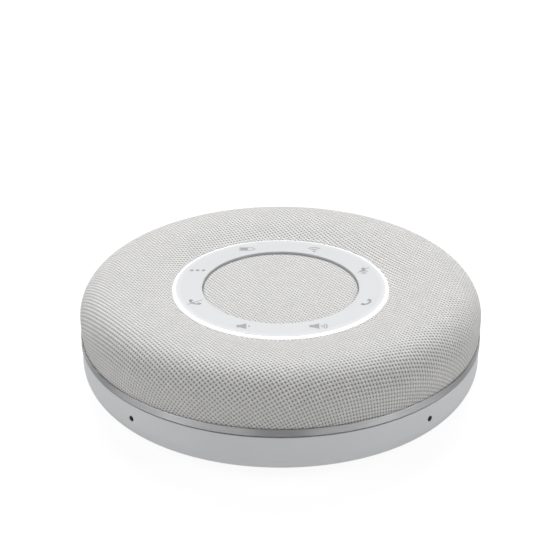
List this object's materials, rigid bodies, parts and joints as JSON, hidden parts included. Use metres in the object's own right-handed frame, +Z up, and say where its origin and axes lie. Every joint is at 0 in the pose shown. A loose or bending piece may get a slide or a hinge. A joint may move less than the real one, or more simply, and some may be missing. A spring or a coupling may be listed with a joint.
{
  "type": "conference speakerphone",
  "caption": "Round tabletop conference speakerphone: fabric dome over a grey base band, with a recessed touch ring and a lit edge round it.",
  "frame": {"origin": "on the floor under the centre of the puck", "axes": "+Z up, +Y towards the socket side, -Y towards the user"},
  "size_m": [0.132, 0.132, 0.034],
  "materials": {
    "fabric": "light grey woven speaker cloth",
    "ring_white": "white satin touch surface",
    "light_diffuser": "translucent white light guide",
    "trim_metal": "dark satin anodised",
    "base_paint": "fine-textured light grey paint",
    "button_grey": "satin grey",
    "black_plastic": "fine-textured black",
    "frame_plastic": "moulded dark grey",
    "enclosure_plastic": "moulded black",
    "rubber": "soft matt rubber",
    "steel": "plated steel",
    "basket_steel": "black coated pressed steel",
    "dark_iron": "dark plated iron",
    "ferrite": "sintered ferrite",
    "copper": "enamelled copper winding",
    "cone_paper": "pressed fibre",
    "cap_plastic": "satin black",
    "spider_cloth": "resin-dipped cloth",
    "circuit_board": "green solder mask on glass fibre board",
    "flex_amber": "amber flexible circuit",
    "ribbon_white": "white flat cable",
    "cell_sleeve": "shrink sleeve over a steel can",
    "lead_red": "wire insulation",
    "lead_black": "wire insulation",
    "label_film": "blank label film"
  },
  "bodies": {
    "chassis": {"base_housing": "base_paint", "base_screw_1": "steel", "base_screw_2": "steel", "base_screw_3": "steel", "base_screw_4": "steel", "battery_cell": "cell_sleeve", "battery_cradle": "black_plastic", "battery_lead_black": "lead_black", "battery_lead_red": "lead_red", "board_screw_1": "steel", "board_screw_2": "steel", "board_screw_3": "steel", "bottom_cover": "black_plastic", "center_grille": "black_plastic", "cone_surround": "rubber", "driver_basket": "basket_steel", "driver_gasket": "rubber", "driver_lead_black": "lead_black", "driver_lead_red": "lead_red", "driver_magnet": "ferrite", "driver_screw_1": "steel", "driver_screw_2": "steel", "driver_screw_3": "steel", "driver_screw_4": "steel", "driver_top_plate": "dark_iron", "driver_yoke": "dark_iron", "fabric_cover": "fabric", "fabric_disc": "fabric", "foot_ring": "rubber", "grille_frame": "frame_plastic", "light_ring": "light_diffuser", "main_board": "circuit_board", "mic_1": "steel", "mic_2": "steel", "mic_3": "steel", "mic_4": "steel", "mic_flex": "flex_amber", "mic_gasket_1": "rubber", "mic_gasket_2": "rubber", "mic_gasket_3": "rubber", "mic_gasket_4": "rubber", "power_switch": "black_plastic", "radiator_surround_left": "rubber", "radiator_surround_right": "rubber", "rating_label": "label_film", "shield_can": "steel", "speaker_enclosure": "enclosure_plastic", "spider": "spider_cloth", "touch_board": "circuit_board", "touch_ribbon": "ribbon_white", "touch_ring": "ring_white", "trim_ring": "trim_metal", "usb_socket": "steel"},
    "cone": {"speaker_cone": "cone_paper", "dust_cap": "cap_plastic", "voice_coil": "copper"},
    "left_radiator": {"radiator_plate_left": "steel"},
    "right_radiator": {"radiator_plate_right": "steel"},
    "power_key": {"power_button": "button_grey"}
  },
  "joints": [
    {"name": "cone_travel", "type": "slide", "parent": "chassis", "child": "cone", "axis": [0, 0, 1], "range_m": [-0.0015, 0.0015], "stiffness_N_per_m": 1500, "deforming": ["cone_surround", "spider"]},
    {"name": "radiator_left_travel", "type": "slide", "parent": "chassis", "child": "left_radiator", "axis": [0, 0, 1], "range_m": [-0.0015, 0.0015], "stiffness_N_per_m": 1000, "deforming": ["radiator_surround_left"]},
    {"name": "radiator_right_travel", "type": "slide", "parent": "chassis", "child": "right_radiator", "axis": [0, 0, 1], "range_m": [-0.0015, 0.0015], "stiffness_N_per_m": 1000, "deforming": ["radiator_surround_right"]},
    {"name": "power_button_press", "type": "slide", "parent": "chassis", "child": "power_key", "axis": [-0.3746, -0.9272, 0], "range_m": [0, 0.0005], "stiffness_N_per_m": 2000}
  ],
  "couplings": [
    {"joint": "radiator_right_travel", "follows": "radiator_left_travel", "ratio": 1}
  ]
}
